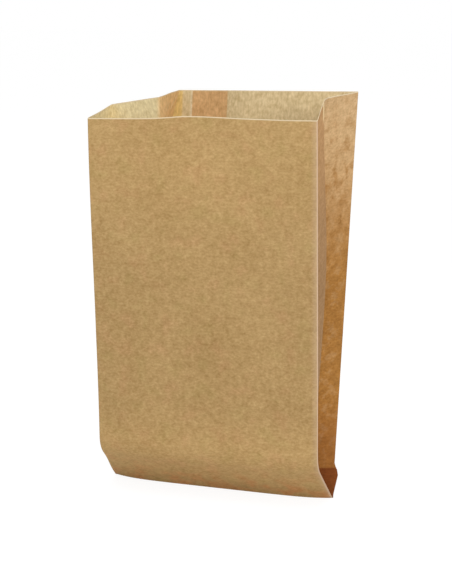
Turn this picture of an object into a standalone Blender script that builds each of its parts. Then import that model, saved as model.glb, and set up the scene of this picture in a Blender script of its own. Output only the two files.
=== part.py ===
"""Brown paper lunch bag: one sheet of kraft paper, folded into a tube and standing open.

The tube has a front and a back panel and a gusset at each side. A lap seam runs up the
back. The foot of the flattened tube is folded up behind the back panel and pasted there,
so that the bag stands on that one fold, which is straight between its ends and curls back
at them.
Higher up the front panel bends, stands off from the back panel and opens the bag to a
wedge. The right gusset is still folded inward. On the left, three slanting creases carry
the folds round the corner, so that the mouth is pressed in there as a step.

The sheet is laid out by its levels. A level is the distance along the paper, from the foot
fold up to the mouth. At each level the sheet runs once round the bag as a ring, and the
rings inside and outside are joined into one closed body. Metres, +Z up, the foot fold on
z = 0, the front panel facing -Y and the origin under the middle of the bag's box.
"""
import math

import bmesh
import bpy
from mathutils import Vector

# The sheet and its folds
PANEL_WIDTH = 0.178
GUSSET_HALF = 0.0445
BAG_HEIGHT = 0.305
SHEET = 0.00015
STRIP_HEIGHT = 0.022
STRIP_THICKNESS = 0.0006
FOOT_THICKNESS = 0.0006
SEAM_WIDTH = 0.0285
SEAM_FROM_RIGHT = 0.1007

# How the front panel stands
BEND_REACH_LEFT = 0.0410
BEND_REACH_RIGHT = 0.0378
BEND_RISE = 0.0358
BEND_ROUNDING = 0.009
BEND_DRAW_LEFT = 0.005
FRONT_LEAN_LEFT = math.radians(-2.2)
FRONT_LEAN_RIGHT = math.radians(-0.6)

# How the back panel stands
BACK_LEAN = math.radians(9.4)
BACK_SLIDE = 0.0036
BACK_TURN = math.radians(4.0)

# Bows of the panels between their side folds, forward being negative
FOOT_BOW = -0.0110
BEND_BOW = -0.0035
MOUTH_BOW = 0.003
BACK_STRAIGHT_LEVEL = 0.12
BOW_POWER = 2.0
FOOT_BOW_POWER = 6.0

# The flat face that the right gusset keeps behind its front fold, widest part way up
CHEEK_DEPTH = 0.023
CHEEK_START = 0.030
CHEEK_FULL = 0.205
CHEEK_LOSS = 0.007

# The step in the left of the mouth
STEP_START = 0.140
STEP_BACK = 0.0383
STEP_STUB = 0.006

# Where the layers close up at the foot
CLOSED_LEVEL = 0.003
MITRE_LIMIT = 0.009
EDGE_STEP = 0.0002

# Heights of the side folds, as a share of the way from the front's height to the back's
GUSSET_HEIGHT_SHARE = 0.95
STEP_OUTER_HEIGHT_SHARE = 0.45

# Spans between points, on each side of a ring
FRONT_SPANS = 12
GUSSET_SPANS = 5
CHEEK_SPANS = 2
BACK_SPANS = 5
SEAM_SPANS = 2
STEP_SPANS = 4
CROWDING = 2.2

KRAFT_COLOUR = (0.479, 0.305, 0.133, 1.0)
KRAFT_ROUGHNESS = 0.85


def clear_scene():
    for item in list(bpy.data.objects):
        bpy.data.objects.remove(item, do_unlink=True)


def mix(first, second, share):
    return first + (second - first) * share


def ease(value, start, end):
    """Rise smoothly from 0 at start to 1 at end."""
    share = min(max((value - start) / (end - start), 0.0), 1.0)
    return share * share * (3.0 - 2.0 * share)


def spread(start, end, spans):
    """Values from start up to, but not at, end."""
    return [mix(start, end, index / spans) for index in range(spans)]


def crowd_start(share):
    """Draw the shares of a run together towards its start."""
    return share ** CROWDING


def crowd_end(share):
    """Draw the shares of a run together towards its end."""
    return 1.0 - (1.0 - share) ** CROWDING


def crowd_both(share):
    """Draw the shares of a run together towards both of its ends."""
    if share < 0.5:
        return crowd_start(2.0 * share) / 2.0
    return (1.0 + crowd_end(2.0 * share - 1.0)) / 2.0


def front_edge(level, side_x, reach, lean):
    """A side fold of the front panel: up from the foot, round the bend and on to the mouth."""
    length = math.hypot(reach, BEND_RISE)
    bend = Vector((0.0, -reach, BEND_RISE))
    below = bend / length
    above = Vector((0.0, -math.sin(lean), math.cos(lean)))
    offset = level - length
    if abs(offset) < BEND_ROUNDING:
        share = (offset + BEND_ROUNDING) / (2.0 * BEND_ROUNDING)
        start = bend - below * BEND_ROUNDING
        end = bend + above * BEND_ROUNDING
        place = start * (1 - share) ** 2 + bend * 2 * share * (1 - share) + end * share ** 2
    elif offset < 0:
        place = below * level
    else:
        place = bend + above * offset
    place.x = side_x
    return place


def front_corners(level):
    """The left and right side folds of the front panel at a level."""
    bend_level = math.hypot(BEND_REACH_LEFT, BEND_RISE)
    draw = BEND_DRAW_LEFT * ease(level, 0.0, bend_level) * (1.0 - ease(level, bend_level, BAG_HEIGHT))
    left = front_edge(level, -PANEL_WIDTH / 2 + draw, BEND_REACH_LEFT, FRONT_LEAN_LEFT)
    right = front_edge(level, PANEL_WIDTH / 2, BEND_REACH_RIGHT, FRONT_LEAN_RIGHT)
    return left, right


def back_corner(level):
    """The right side fold of the back panel at a level."""
    slide = BACK_SLIDE * level / BAG_HEIGHT
    depth = FOOT_THICKNESS + level * math.sin(BACK_LEAN)
    return Vector((PANEL_WIDTH / 2 + slide, depth, level * math.cos(BACK_LEAN)))


def step_share(level):
    """How far the left folds have moved round the corner, from 0 to 1 at the mouth."""
    return max(0.0, (level - STEP_START) / (BAG_HEIGHT - STEP_START))


def back_point(level, distance):
    """A point of the back panel, by its distance along the paper from the right side fold."""
    turn = BACK_TURN * level / BAG_HEIGHT
    heading = Vector((-math.cos(turn), -math.sin(turn), 0.0))
    return back_corner(level) + heading * distance


def fold_between(first, second, first_length, second_length, height):
    """The fold that two lengths of paper meet in, on the inner side of the line between
    their other ends. It lies left of the way from first to second."""
    first_flat = math.sqrt(max(first_length ** 2 - (height - first.z) ** 2, 0.0))
    second_flat = math.sqrt(max(second_length ** 2 - (height - second.z) ** 2, 0.0))
    way = Vector((second.x - first.x, second.y - first.y, 0.0))
    span = way.length
    way = way / span
    along = (first_flat ** 2 - second_flat ** 2 + span ** 2) / (2.0 * span)
    inward = math.sqrt(max(first_flat ** 2 - along ** 2, 0.0))
    place = first + way * along + Vector((-way.y, way.x, 0.0)) * inward
    place.z = height
    return place


def notched(level, front, back, outer, inner):
    """A gusset's two folds, drawn out to the bag's edge as the notch closes at the foot."""
    notch = min(1.0, level / CLOSED_LEVEL)
    return front.lerp(back, 1 / 3).lerp(outer, notch), front.lerp(back, 2 / 3).lerp(inner, notch)


def cheek_depth(level):
    """How far back the right gusset runs from the front fold before it turns inward."""
    loss = CHEEK_LOSS * ease(level, CHEEK_FULL, BAG_HEIGHT)
    return CHEEK_DEPTH * ease(level, CHEEK_START, CHEEK_FULL) - loss


def right_folds(level, front, back):
    """The right gusset's outer bend and its inward fold. Low down the bend lies on the
    straight way to the fold."""
    height = mix(front.z, back.z, GUSSET_HEIGHT_SHARE)
    plain = fold_between(front, back, GUSSET_HALF, GUSSET_HALF, height)
    plain_way = (plain - front).normalized()
    depth = STEP_STUB + cheek_depth(level) * (1.0 - STEP_STUB / CHEEK_DEPTH)
    turn = math.sqrt(cheek_depth(level) / CHEEK_DEPTH)
    rise = (height - front.z) / GUSSET_HALF
    straight_way = Vector((0.0, math.sqrt(max(1.0 - rise ** 2, 0.0)), rise))
    bend = front + plain_way.lerp(straight_way, turn).normalized() * depth
    fold = fold_between(bend, back, GUSSET_HALF - depth, GUSSET_HALF, height)
    return notched(level, front, back, bend, fold)


def left_folds(level, front, back):
    """The three left folds at a level: the outer and the inner fold of the step, between the
    front corner and the back fold. Low down they are points of a plain inward gusset."""
    share = step_share(level)
    outer_length = mix(STEP_STUB, GUSSET_HALF, share)
    inner_length = GUSSET_HALF * (1.0 + share) - outer_length
    last_length = GUSSET_HALF + (STEP_BACK - GUSSET_HALF) * share
    inner_height = mix(front.z, back.z, GUSSET_HEIGHT_SHARE)
    plain = fold_between(back, front, GUSSET_HALF, GUSSET_HALF, inner_height)
    plain_way = (plain - front).normalized()
    outer_height = mix(front.z, back.z, STEP_OUTER_HEIGHT_SHARE)
    rise = (outer_height - front.z) / GUSSET_HALF
    straight_way = Vector((0.0, math.sqrt(max(1.0 - rise ** 2, 0.0)), rise))
    outer = front + plain_way.lerp(straight_way, math.sqrt(share)).normalized() * outer_length
    inner = fold_between(back, outer, last_length, inner_length, inner_height)
    return notched(level, front, back, outer, inner)


def front_bow(level):
    bend_level = math.hypot(BEND_REACH_RIGHT, BEND_RISE)
    if level < bend_level:
        return mix(FOOT_BOW, BEND_BOW, level / bend_level)
    return mix(BEND_BOW, MOUTH_BOW, ease(level, bend_level, BAG_HEIGHT))


def back_bow(level):
    return FOOT_BOW * (1.0 - ease(level, 0.0, BACK_STRAIGHT_LEVEL))


def bow_point(place, level, back_share):
    """Bend a point forward or back with the panels, most in the middle of the bag. The foot
    is straight there and curls back at its two ends."""
    across = min(abs(2.0 * place.x / PANEL_WIDTH), 1.0)
    power = mix(FOOT_BOW_POWER, BOW_POWER, ease(level, 0.0, BEND_RISE))
    bow = mix(front_bow(level), back_bow(level), back_share)
    return place + Vector((0.0, bow * (1.0 - across ** power), 0.0))


def panel_run(level, start, end, parts, shares=(0.0, 0.0)):
    """Points from start towards end, at the given parts of the way. The shares say how far
    the two ends lie on the way from the front panel to the back one."""
    points = []
    for part in parts:
        place = start.lerp(end, part)
        points.append(bow_point(place, level, mix(shares[0], shares[1], part)))
    return points


def back_run(level, strip, seam_raise):
    """Points of the back panel from its right fold to the left one, with the lap seam."""
    full = PANEL_WIDTH - STEP_BACK * step_share(level)
    seam_end = SEAM_FROM_RIGHT + SEAM_WIDTH
    right = [SEAM_FROM_RIGHT * crowd_start(part) for part in spread(0.0, 1.0, BACK_SPANS)]
    left = [mix(seam_end + EDGE_STEP, full, crowd_end(part)) for part in spread(0.0, 1.0, STEP_SPANS)]
    stations = [(place, 0.0) for place in right]
    stations.append((SEAM_FROM_RIGHT, 0.0))
    stations += [(place, 1.0) for place in spread(SEAM_FROM_RIGHT + EDGE_STEP, seam_end, SEAM_SPANS)]
    stations.append((seam_end, 1.0))
    stations += [(place, 0.0) for place in left]
    points = []
    for distance, raised in stations:
        place = back_point(level, distance) + Vector((0.0, strip + raised * seam_raise, 0.0))
        points.append(bow_point(place, level, 1.0))
    return points


def sheet_ring(level, strip=0.0, seam_raise=0.0):
    """The sheet's outer face round the bag at a level, turning left as seen from above.

    strip is how far the pasted strip and seam_raise how far the lap seam stands out
    behind the back panel."""
    front_left, front_right = front_corners(level)
    back_right = back_corner(level)
    back_left = back_point(level, PANEL_WIDTH - STEP_BACK * step_share(level))
    bend, gusset = right_folds(level, front_right, back_right)
    outer, inner = left_folds(level, front_left, back_left)
    behind = Vector((0.0, strip, 0.0))
    across_front = [crowd_both(part) for part in spread(0.0, 1.0, FRONT_SPANS)]
    across_gusset = spread(0.0, 1.0, GUSSET_SPANS)
    to_back = [crowd_end(part) for part in across_gusset]
    from_back = [crowd_start(part) for part in across_gusset]
    ring = panel_run(level, front_left, front_right, across_front)
    ring += panel_run(level, front_right, bend, spread(0.0, 1.0, CHEEK_SPANS), (0.0, 0.25))
    ring += panel_run(level, bend, gusset, across_gusset, (0.25, 0.5))
    ring += panel_run(level, gusset, back_right + behind, to_back, (0.5, 1.0))
    ring += back_run(level, strip, seam_raise)
    ring += panel_run(level, back_left + behind, inner, from_back, (1.0, 0.5))
    ring += panel_run(level, inner, outer, across_gusset, (0.5, 0.25))
    ring += panel_run(level, outer, front_left, spread(0.0, 1.0, STEP_SPANS), (0.25, 0.0))
    return ring


def inset_ring(ring, distance):
    """The ring moved inward in plan by a distance, mitred at its folds."""
    moved = []
    count = len(ring)
    for index, place in enumerate(ring):
        before = place - ring[index - 1]
        after = ring[(index + 1) % count] - place
        first = Vector((-before.y, before.x, 0.0)).normalized()
        second = Vector((-after.y, after.x, 0.0)).normalized()
        opening = max(1.0 + first.dot(second), 1e-9)
        mitre = (first + second) * (distance / opening)
        if mitre.length > MITRE_LIMIT:
            mitre = mitre.normalized() * MITRE_LIMIT
        moved.append(place + mitre)
    return moved


def sheet_levels():
    """Levels from the foot to the mouth, closer where the sheet bends."""
    bend_level = math.hypot(BEND_REACH_LEFT, BEND_RISE)
    bend_start = bend_level - 1.5 * BEND_ROUNDING
    bend_end = bend_level + 1.5 * BEND_ROUNDING
    levels = spread(CLOSED_LEVEL, STRIP_HEIGHT, 4)
    levels += spread(STRIP_HEIGHT + 2 * EDGE_STEP, bend_start, 2)
    levels += spread(bend_start, bend_end, 6)
    levels += spread(bend_end, STEP_START, 4)
    levels += spread(STEP_START, BAG_HEIGHT, 8)
    levels.append(BAG_HEIGHT)
    return levels


def outer_rings():
    """Rings of the outer face. The pasted strip ends in a step at its upper cut edge."""
    levels = [0.0, CLOSED_LEVEL / 2] + sheet_levels()
    strip_levels = [level for level in levels if level < STRIP_HEIGHT] + [STRIP_HEIGHT]
    rings = [sheet_ring(level, strip=STRIP_THICKNESS) for level in strip_levels]
    rings += [sheet_ring(level, seam_raise=SHEET) for level in levels if level > STRIP_HEIGHT]
    return rings


def add_ring(mesh, ring):
    return [mesh.verts.new(place) for place in ring]


def join_rings(mesh, lower, upper):
    count = len(lower)
    for index in range(count):
        after = (index + 1) % count
        mesh.faces.new((lower[index], lower[after], upper[after], upper[index]))


def centre_over_origin(mesh):
    """Slide the bag so that the origin lies under the middle of the room it takes up."""
    across = [vert.co.x for vert in mesh.verts]
    along = [vert.co.y for vert in mesh.verts]
    middle = Vector((min(across) + max(across), min(along) + max(along), 0.0)) / 2.0
    bmesh.ops.translate(mesh, verts=mesh.verts[:], vec=-middle)


def build_bag_mesh():
    """The whole sheet as one closed body."""
    mesh = bmesh.new()
    outside = [add_ring(mesh, ring) for ring in outer_rings()]
    inside = [add_ring(mesh, inset_ring(sheet_ring(level), SHEET)) for level in sheet_levels()]
    for lower, upper in zip(outside, outside[1:]):
        join_rings(mesh, lower, upper)
    for lower, upper in zip(inside, inside[1:]):
        join_rings(mesh, upper, lower)
    join_rings(mesh, outside[-1], inside[-1])
    caps = [mesh.faces.new(list(reversed(outside[0]))), mesh.faces.new(inside[0])]
    bmesh.ops.triangulate(mesh, faces=caps)
    bmesh.ops.triangulate(mesh, faces=mesh.faces[:], quad_method="SHORT_EDGE")
    bmesh.ops.recalc_face_normals(mesh, faces=mesh.faces[:])
    centre_over_origin(mesh)
    return mesh


def kraft_material():
    material = bpy.data.materials.new("kraft_paper")
    material.use_nodes = True
    shader = material.node_tree.nodes["Principled BSDF"]
    shader.inputs["Base Color"].default_value = KRAFT_COLOUR
    shader.inputs["Roughness"].default_value = KRAFT_ROUGHNESS
    shader.inputs["Metallic"].default_value = 0.0
    material.diffuse_color = KRAFT_COLOUR
    return material


def build_bag():
    mesh = build_bag_mesh()
    data = bpy.data.meshes.new("paper_bag")
    mesh.to_mesh(data)
    mesh.free()
    data.materials.append(kraft_material())
    bag = bpy.data.objects.new("paper_bag", data)
    bpy.context.scene.collection.objects.link(bag)
    return bag


def main():
    clear_scene()
    build_bag()


main()
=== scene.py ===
"""Brown paper lunch bag: the looks of one folded sheet of kraft paper, standing open.

The frame holds the bag as a plain solid. This script folds the same sheet again in fine
mesh, with rounded and worn folds, cut edges, a lap seam, a pasted strip and the slight
waves that paper keeps. Its paint holds painted light and shade too: highlights on the folds, the
cut edge and wrinkle lines, light that would come through the paper inside, shade deep in the
gussets, and lighter tones towards the top and by the foot. The sheet is laid out by two distances
along the paper, and the paint of its one material is laid out by the same two: the place is the
way round the bag from the front left fold, turning right, and the level is the way up from the
foot fold.
"""

import math

import bmesh
import bpy
import numpy as np
from bpy.props import FloatProperty, FloatVectorProperty, PointerProperty
from mathutils import Matrix, Vector, noise


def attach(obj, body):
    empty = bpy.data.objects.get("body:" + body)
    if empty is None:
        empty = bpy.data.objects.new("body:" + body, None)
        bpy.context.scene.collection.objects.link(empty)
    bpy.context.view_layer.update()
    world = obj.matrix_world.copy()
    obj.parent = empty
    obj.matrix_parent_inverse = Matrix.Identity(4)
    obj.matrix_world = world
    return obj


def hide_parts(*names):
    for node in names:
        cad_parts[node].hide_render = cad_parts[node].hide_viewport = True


bl_info = {
    "name": "Paper lunch bag",
    "version": (1, 0, 0),
    "blender": (4, 5, 0),
    "location": "View3D > Sidebar > Paper bag",
    "description": "Fold a kraft paper lunch bag that stands open, and set its stage",
    "category": "Add Mesh",
}

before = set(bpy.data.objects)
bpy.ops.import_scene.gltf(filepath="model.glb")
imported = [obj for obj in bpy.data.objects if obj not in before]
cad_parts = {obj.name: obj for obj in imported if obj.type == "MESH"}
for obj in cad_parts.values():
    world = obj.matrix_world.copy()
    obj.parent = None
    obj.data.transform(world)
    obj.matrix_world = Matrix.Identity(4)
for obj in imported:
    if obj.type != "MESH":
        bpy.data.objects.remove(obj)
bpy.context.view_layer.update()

# The sheet and its folds, as the frame holds them
PANEL_WIDTH = 0.178
GUSSET_HALF = 0.0445
BAG_HEIGHT = 0.305
STRIP_HEIGHT = 0.022
STRIP_THICKNESS = 0.0006
FOOT_THICKNESS = 0.0006
SEAM_WIDTH = 0.0285
SEAM_FROM_RIGHT = 0.1007
SHEET_ROUND = 2 * PANEL_WIDTH + 4 * GUSSET_HALF
BACK_START = PANEL_WIDTH + 2 * GUSSET_HALF
BACK_END = BACK_START + PANEL_WIDTH

# How the front and back panels stand. FOOT_BOW, FOOT_SPREAD_LEFT and BACK_SLIDE aren't the solid's
# own: they follow the outline in the photograph
BEND_REACH_LEFT = 0.0410
BEND_REACH_RIGHT = 0.0378
BEND_RISE = 0.0358
BEND_ROUNDING = 0.009
BEND_DRAW_LEFT = 0.005
FOOT_SPREAD_LEFT = 0.0015
FRONT_LEAN_LEFT = math.radians(-2.2)
FRONT_LEAN_RIGHT = math.radians(-0.6)
BACK_LEAN = math.radians(9.4)
BACK_SLIDE = 0.0058
BACK_TURN = math.radians(4.0)
FOOT_BOW = -0.0060
BEND_BOW = -0.0035
MOUTH_BOW = 0.003
BACK_STRAIGHT_LEVEL = 0.12
BOW_POWER = 2.0
FOOT_BOW_POWER = 6.0

# The right gusset's flat cheek and the step in the left of the mouth. At the foot both start as a
# stub beside the front fold. A height share says where a fold's height lies between the front
# fold's and the back fold's
GUSSET_STUB = 0.006
CHEEK_DEPTH = 0.023
CHEEK_START = 0.030
CHEEK_FULL = 0.205
CHEEK_LOSS = 0.007
CHEEK_TURN_POWER = 0.36
CHEEK_LIFT = 0.0075
CHEEK_LIFT_START = 0.200
STEP_START = 0.140
STEP_BACK = 0.0383
CLOSED_LEVEL = 0.003
GUSSET_HEIGHT_SHARE = 0.95
STEP_OUTER_HEIGHT_SHARE = 0.39
STEP_INNER_HEIGHT_SHARE = 0.87

# How far back the gussets' outer and inner folds lie, as shares of the way from the front panel to
# the back one
OUTER_FOLD_BACK = 0.25
INNER_FOLD_BACK = 0.5

# The sheet where its layers are pressed together at a fold, and the levels where it comes free
PRESSED_SHARE = 0.25
THINNEST = 0.000004
PRESSED_LEVELS = (0.02, 0.05)

# The low hump in the front panel's rim: its place, its spread to the left and right, its size
# and how far in from the two side folds it starts
HUMP_PLACE = 0.077
HUMP_LEFT = 0.018
HUMP_RIGHT = 0.042
HUMP_RISE = 0.0016
HUMP_BACK = 0.0020
HUMP_DEPTH = 0.070
HUMP_FADE = 0.02

# The pasted strip's right end: the level where it stands out most, its share at the upper corner,
# the level where it ends and its reach along the paper
FLARE_PEAK = 0.0175
FLARE_AT_CORNER = 0.62
FLARE_END = 0.026
FLARE_REACH = 0.012

# The waves that the paper keeps: cells of noise to a metre, slices of the noise, and where they fade
LONG_CELLS = 14.0
SECOND_CELLS = 31.0
SECOND_SHARE = 0.5
SECOND_OFFSET = (7.0, 3.0, 1.0)
SHORT_CELLS = 90.0
SHORT_SLICE = 2.0
MOUTH_CELLS = 28.0
MOUTH_SLICE = 5.0
WAVE_FROM_FOLD = 0.02
WAVE_LEVELS = (0.012, 0.06)
MOUTH_WAVE_DEPTH = 0.05

# From the middle of the foot's two corners to the frame's origin
TO_ORIGIN = (-0.0018, -0.0038, 0.0)

# Mesh spans from fold to fold round the bag and steps up it. STRIP_EDGE and EDGE_STEP are the small
# steps at the strip's upper edge and at the seam's two edges
FRONT_SPANS = 60
CHEEK_SPANS = 9
GUSSET_SPANS = 14
BACK_SPANS = 32
SEAM_SPANS = 10
STEP_SPANS = 12
FOLD_CROWDING = 0.7
FOLD_ROUNDING = 0.5
LEVEL_STEP = 0.0022
STRIP_ROWS = 9
STRIP_EDGE = 0.0001
EDGE_STEP = 0.0002
SHARP_ANGLE = math.radians(38.0)
TINY = 1e-12

# The three sides of the sheet, as each face corner holds them for the paint
OUTER, INNER, RIM = 0, 1, 2


class PaperBagSettings(bpy.types.PropertyGroup):
    """Sizes and colours of the bag that a user would change."""
    sheet: FloatProperty(
        name="Sheet", description="Thickness of the paper", default=0.00022, unit="LENGTH")
    wave: FloatProperty(
        name="Wave", description="Height of the long waves in the panels", default=0.0011, unit="LENGTH")
    crumple: FloatProperty(
        name="Crumple", description="Height of the short waves in the panels", default=0.00022,
        unit="LENGTH")
    mouth_wave: FloatProperty(
        name="Mouth wave", description="Height of the waves along the mouth", default=0.0012, unit="LENGTH")
    strip_flare: FloatProperty(
        name="Strip flare", description="How far the pasted strip stands out at its right end",
        default=0.0032, unit="LENGTH")
    outside_colour: FloatVectorProperty(
        name="Outside", description="Kraft brown of the outer face", size=3, subtype="COLOR",
        default=(0.441, 0.281, 0.113))
    olive_colour: FloatVectorProperty(
        name="Olive", description="Greener brown of cloudy places outside", size=3, subtype="COLOR",
        default=(0.406, 0.278, 0.101))
    stain_colour: FloatVectorProperty(
        name="Stain", description="Pinker brown of cloudy places", size=3, subtype="COLOR",
        default=(0.478, 0.270, 0.120))
    foot_colour: FloatVectorProperty(
        name="Foot stain", description="Orange brown of the stained places by the foot", size=3,
        subtype="COLOR", default=(0.480, 0.235, 0.085))
    # Lighter than the outside: partly its own colour, partly painted light standing in for light coming
    # through the paper
    inside_and_through_light_colour: FloatVectorProperty(
        name="Inside", description="Paler brown of the inner face", size=3, subtype="COLOR",
        default=(0.690, 0.535, 0.296))
    # Painted pale to stand in for light coming through the paper
    pink_through_light_colour: FloatVectorProperty(
        name="Pink", description="Pinkish brown of the step's own face inside", size=3, subtype="COLOR",
        default=(0.860, 0.570, 0.265))
    # Painted light: the left gusset's inner face, as lit from the top right
    left_inside_lit_colour: FloatVectorProperty(
        name="Left inside", description="Palest brown of the left gusset's inner face", size=3,
        subtype="COLOR", default=(0.800, 0.665, 0.379))
    # A yellow-brown band, painted pale for light coming through the paper
    ochre_colour: FloatVectorProperty(
        name="Ochre", description="Yellow brown beside the crease inside", size=3, subtype="COLOR",
        default=(0.735, 0.520, 0.190))
    # The gusset colours paint light and shade: pale as if lit near the mouth, a darker orange brown as
    # painted shade in the notch near the foot
    gusset_lit_colour: FloatVectorProperty(
        name="Gusset", description="Warm brown of the gussets near the mouth", size=3, subtype="COLOR",
        default=(0.565, 0.368, 0.182))
    gusset_shaded_colour: FloatVectorProperty(
        name="Low gusset", description="Orange brown of the gussets near the foot", size=3,
        subtype="COLOR", default=(0.405, 0.183, 0.038))
    cheek_colour: FloatVectorProperty(
        name="Cheek", description="Pinkish brown of the gusset beside the front fold", size=3,
        subtype="COLOR", default=(0.452, 0.249, 0.102))
    # Darker than the rest of the inside: less of the painted light through the paper where two layers lie
    layer_colour: FloatVectorProperty(
        name="Double layer", description="Reddish brown where the paper lies double", size=3,
        subtype="COLOR", default=(0.650, 0.390, 0.172))
    # Painted shade deep in the gussets near the foot, with a paste stain on the pasted strip
    paste_stain_and_shade_colour: FloatVectorProperty(
        name="Pasted strip", description="Dark red brown of the pasted layers in the gusset", size=3,
        subtype="COLOR", default=(0.200, 0.054, 0.008))
    # Pale cut fibres, also used for painted highlights on the mouth's rim and on wrinkle lines
    cut_edge_and_highlight_colour: FloatVectorProperty(
        name="Cut edge", description="Pale fibres at a cut edge", size=3, subtype="COLOR",
        default=(0.800, 0.660, 0.440))
    # Pale worn fibres along the fold, partly a painted highlight
    worn_fold_and_highlight_colour: FloatVectorProperty(
        name="Worn fold", description="Pale fibres along a worn fold", size=3, subtype="COLOR",
        default=(0.690, 0.500, 0.345))


class PaperStageSettings(bpy.types.PropertyGroup):
    """The camera and the light."""
    azimuth: FloatProperty(
        name="Azimuth", description="Camera's turn to the bag's right", default=0.3628418, subtype="ANGLE")
    elevation: FloatProperty(
        name="Elevation", description="Camera's height above the horizon", default=0.2212719,
        subtype="ANGLE")
    roll: FloatProperty(
        name="Roll", description="Camera's turn about its own axis", default=-0.0187518, subtype="ANGLE")
    distance: FloatProperty(
        name="Distance", description="From the camera to the point it aims at", default=1.1681,
        unit="LENGTH")
    aim: FloatVectorProperty(
        name="Aim", description="Point in the middle of the view", size=3, subtype="XYZ",
        default=(-0.0012, -0.0038, 0.1538), unit="LENGTH")
    lens: FloatProperty(
        name="Lens", description="Focal length in millimetres, on a sensor 36 mm high", default=95.67)
    shift: FloatProperty(
        name="Shift", description="Sideways shift, as a share of the frame's height", default=0.01115)
    key_power: FloatProperty(
        name="Key", description="Power of the soft lamp in front of the bag", default=10.0, unit="POWER")
    top_power: FloatProperty(
        name="Top", description="Power of the soft lamp above the mouth", default=8.0, unit="POWER")
    fill: FloatProperty(
        name="Fill", description="Strength of the light from all round", default=0.59)
    floor_colour: FloatVectorProperty(
        name="Floor", description="Colour of the floor", size=3, subtype="COLOR",
        default=(0.86, 0.86, 0.86))


def mix(first, second, share):
    """The value a share of the way from first to second."""
    return first + (second - first) * share


def ease(value, start, end):
    """Rise smoothly from 0 at start to 1 at end."""
    share = min(max((value - start) / (end - start), 0.0), 1.0)
    return share * share * (3.0 - 2.0 * share)


def front_edge(level, side_x, reach, lean):
    """A side fold of the front panel: up from the foot, round the bend and on to the mouth."""
    length = math.hypot(reach, BEND_RISE)
    bend = Vector((0.0, -reach, BEND_RISE))
    below = bend / length
    above = Vector((0.0, -math.sin(lean), math.cos(lean)))
    offset = level - length
    if abs(offset) < BEND_ROUNDING:
        share = (offset + BEND_ROUNDING) / (2.0 * BEND_ROUNDING)
        start = bend - below * BEND_ROUNDING
        end = bend + above * BEND_ROUNDING
        place = start * (1 - share) ** 2 + bend * 2 * share * (1 - share) + end * share ** 2
    elif offset < 0:
        place = below * level
    else:
        place = bend + above * offset
    place.x = side_x
    return place


def foot_spread(level):
    """How far the left folds stand out at the foot, where the sheet is pressed flat."""
    return FOOT_SPREAD_LEFT * (1.0 - ease(level, 0.0, BEND_RISE))


def front_corners(level):
    """The left and right side folds of the front panel at a level."""
    bend_level = math.hypot(BEND_REACH_LEFT, BEND_RISE)
    draw = BEND_DRAW_LEFT * ease(level, 0.0, bend_level) * (1.0 - ease(level, bend_level, BAG_HEIGHT))
    left = front_edge(level, -PANEL_WIDTH / 2 + draw, BEND_REACH_LEFT, FRONT_LEAN_LEFT)
    left.x -= foot_spread(level)
    right = front_edge(level, PANEL_WIDTH / 2, BEND_REACH_RIGHT, FRONT_LEAN_RIGHT)
    return left, right


def step_share(level):
    """How far the left folds have moved round the corner, from 0 to 1 at the mouth."""
    return max(0.0, (level - STEP_START) / (BAG_HEIGHT - STEP_START))


def back_point(level, distance):
    """A point of the back panel, by its distance along the paper from the right side fold."""
    corner = Vector((PANEL_WIDTH / 2 + BACK_SLIDE * level / BAG_HEIGHT,
                     FOOT_THICKNESS + level * math.sin(BACK_LEAN), level * math.cos(BACK_LEAN)))
    turn = BACK_TURN * level / BAG_HEIGHT
    return corner + Vector((-math.cos(turn), -math.sin(turn), 0.0)) * distance


def fold_between(first, second, first_length, second_length, height):
    """The fold that two lengths of paper meet in. It lies left of the way from first to second."""
    first_flat = math.sqrt(max(first_length ** 2 - (height - first.z) ** 2, 0.0))
    second_flat = math.sqrt(max(second_length ** 2 - (height - second.z) ** 2, 0.0))
    way = Vector((second.x - first.x, second.y - first.y, 0.0))
    span = way.length
    way = way / span
    along = (first_flat ** 2 - second_flat ** 2 + span ** 2) / (2.0 * span)
    inward = math.sqrt(max(first_flat ** 2 - along ** 2, 0.0))
    place = first + way * along + Vector((-way.y, way.x, 0.0)) * inward
    place.z = height
    return place


def notched(level, front, back, outer, inner):
    """A gusset's two folds, drawn out to the bag's edge as the notch closes at the foot."""
    notch = min(1.0, level / CLOSED_LEVEL)
    return front.lerp(back, 1 / 3).lerp(outer, notch), front.lerp(back, 2 / 3).lerp(inner, notch)


def straight_back(length, rise):
    """A direction straight back that rises by an amount over a length."""
    share = rise / length
    return Vector((0.0, math.sqrt(max(1.0 - share ** 2, 0.0)), share))


def cheek_share(level):
    """How wide the cheek is, from 0 near the foot to 1, and a little less again at the mouth."""
    narrower = CHEEK_LOSS / CHEEK_DEPTH * ease(level, CHEEK_FULL, BAG_HEIGHT)
    return ease(level, CHEEK_START, CHEEK_FULL) - narrower


def cheek_width(level):
    """Paper from the front right fold to the bend behind it."""
    return mix(GUSSET_STUB, CHEEK_DEPTH, cheek_share(level))


def right_folds(level, front, back):
    """The right gusset's outer bend and its inward fold. The cheek between the front fold and the
    bend turns straight back as it widens."""
    height = mix(front.z, back.z, GUSSET_HEIGHT_SHARE)
    plain = fold_between(front, back, GUSSET_HALF, GUSSET_HALF, height)
    width = cheek_width(level)
    turn = cheek_share(level) ** CHEEK_TURN_POWER
    way = (plain - front).normalized().lerp(straight_back(GUSSET_HALF, height - front.z), turn)
    bend = front + way.normalized() * width
    fold = fold_between(bend, back, GUSSET_HALF - width, GUSSET_HALF, height)
    bend.z += CHEEK_LIFT * ease(level, CHEEK_LIFT_START, BAG_HEIGHT)
    return notched(level, front, back, bend, fold)


def step_lengths(level):
    """Paper from the front left fold to the step's outer fold, on to its inner one and to the back."""
    share = step_share(level)
    outer = mix(GUSSET_STUB, GUSSET_HALF, share)
    return outer, GUSSET_HALF * (1.0 + share) - outer, mix(GUSSET_HALF, STEP_BACK, share)


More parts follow.
